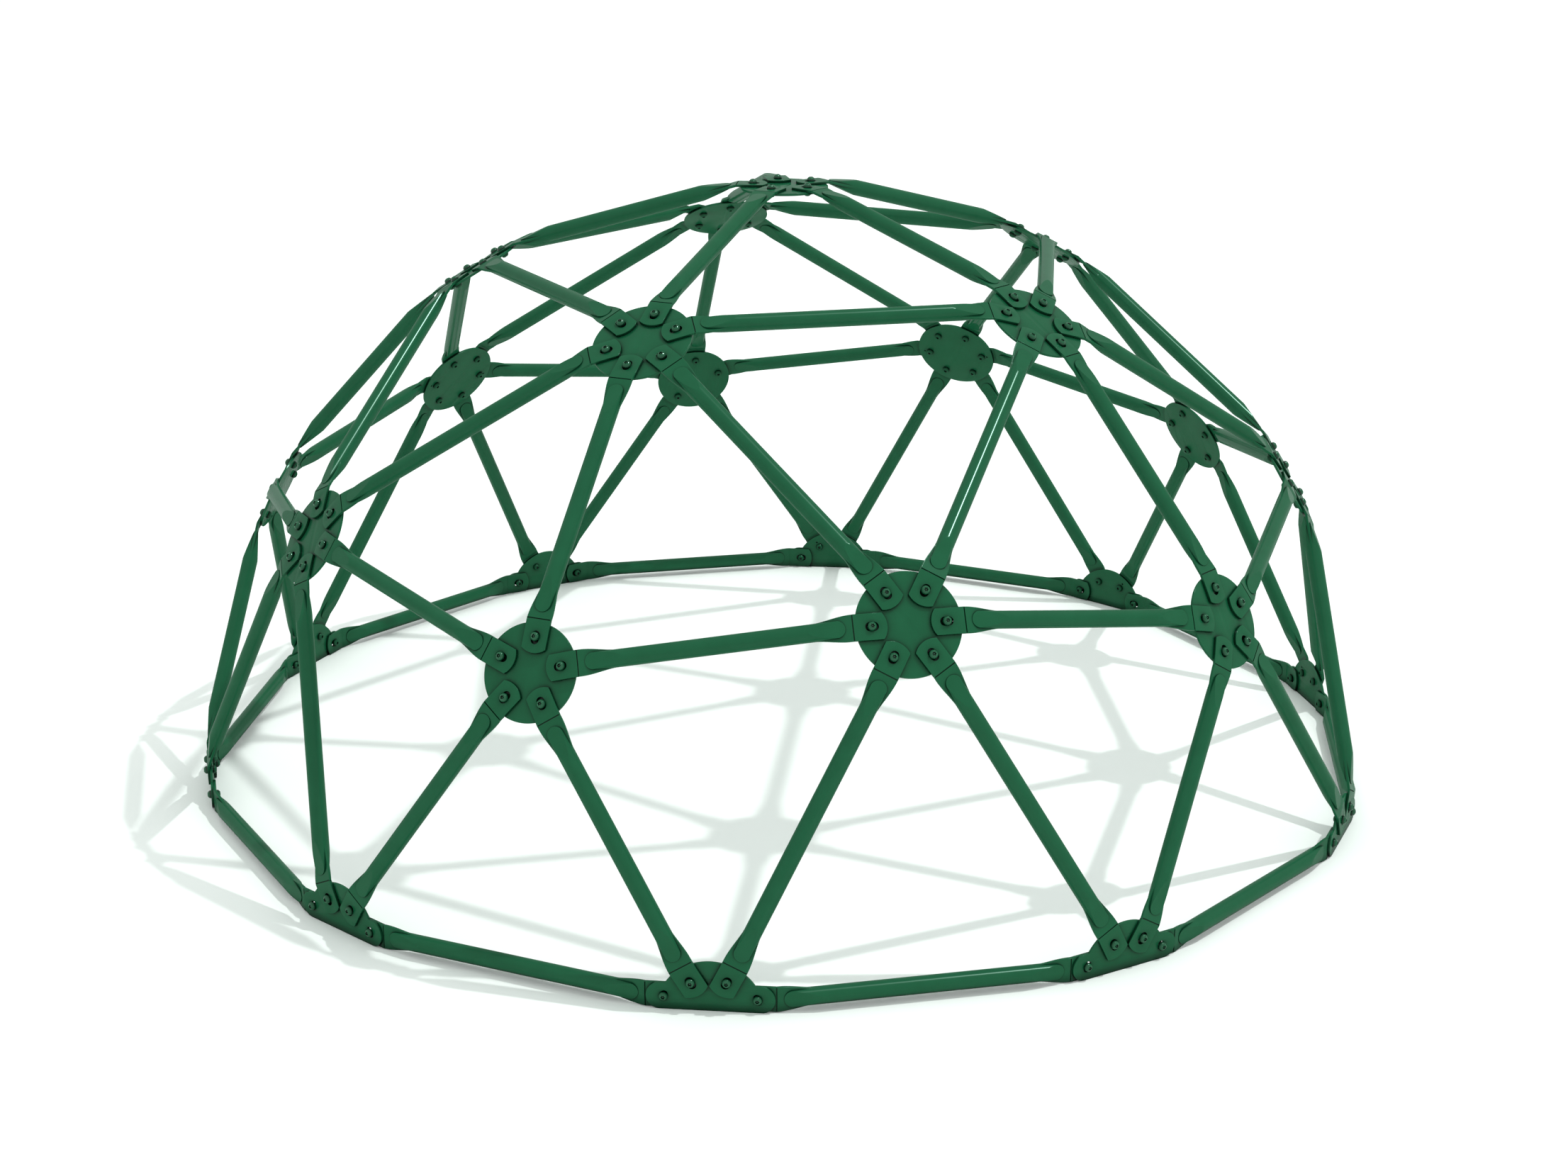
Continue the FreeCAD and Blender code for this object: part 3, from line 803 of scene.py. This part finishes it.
def floor_material():
    """Matt, very pale floor with faint mottling."""
    mat = bpy.data.materials.new("pale_floor")
    mat.use_nodes = True
    tree = mat.node_tree
    bsdf = tree.nodes["Principled BSDF"]
    mottle = node(tree, "ShaderNodeTexNoise", -500, 0)
    mottle.inputs["Scale"].default_value = 3.0
    ramp = node(tree, "ShaderNodeValToRGB", -250, 0)
    low, high = ramp.color_ramp.elements
    low.color, high.color = (*FLOOR_LOW, 1), (*FLOOR_HIGH, 1)
    tree.links.new(mottle.outputs["Fac"], ramp.inputs["Fac"])
    tree.links.new(ramp.outputs["Color"], bsdf.inputs["Base Color"])
    bsdf.inputs["Roughness"].default_value = 0.9
    bsdf.inputs["Specular IOR Level"].default_value = 0.1
    return mat


def build_floor():
    bpy.ops.mesh.primitive_plane_add(size=FLOOR_SIZE, location=(0, 0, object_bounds()[0][2]))
    floor = bpy.context.object
    floor.name = "floor"
    floor.data.materials.append(floor_material())


def build_world():
    """Even white surroundings of unit radiance."""
    world = bpy.data.worlds.new("studio")
    bpy.context.scene.world = world
    world.use_nodes = True
    background = world.node_tree.nodes["Background"]
    background.inputs["Color"].default_value = (1.0, 1.0, 1.0, 1)
    background.inputs["Strength"].default_value = 1.0


def add_lamp(name, at, distance, irradiance, angle, tint, glossy):
    """Round lamp seen under angle degrees from the dome, lighting it with irradiance in W/m2.

    A glossy lamp only makes reflections, and any other only lights surfaces and casts shadows.
    """
    azimuth, elevation = at
    data = bpy.data.lights.new(name, "POINT")
    data.energy = irradiance * 4 * math.pi * distance ** 2
    data.color = tint
    data.shadow_soft_size = distance * math.tan(math.radians(angle / 2))
    lamp = bpy.data.objects.new(name, data)
    bpy.context.scene.collection.objects.link(lamp)
    lamp.location = distance * on_sphere(90 - elevation, azimuth)
    lamp.visible_glossy = glossy
    lamp.visible_diffuse = not glossy


def add_camera():
    radius = DOME_R * MM
    target = Vector((0, 0, TARGET_HEIGHT * radius))
    data = bpy.data.cameras.new("camera")
    data.sensor_width = CAMERA_SENSOR
    data.lens = CAMERA_LENS
    camera = bpy.data.objects.new("camera", data)
    bpy.context.scene.collection.objects.link(camera)
    away = on_sphere(90 - CAMERA_ELEVATION, CAMERA_AZIMUTH)
    camera.location = target + CAMERA_DISTANCE * radius * away
    camera.rotation_euler = (-away).to_track_quat("-Z", "Y").to_euler()
    bpy.context.scene.camera = camera


build_floor()
build_world()
add_lamp("key_light", **KEY, glossy=False)
add_lamp("glint_light", **GLINT, glossy=True)
add_camera()
bpy.context.scene.view_settings.view_transform = "Standard"
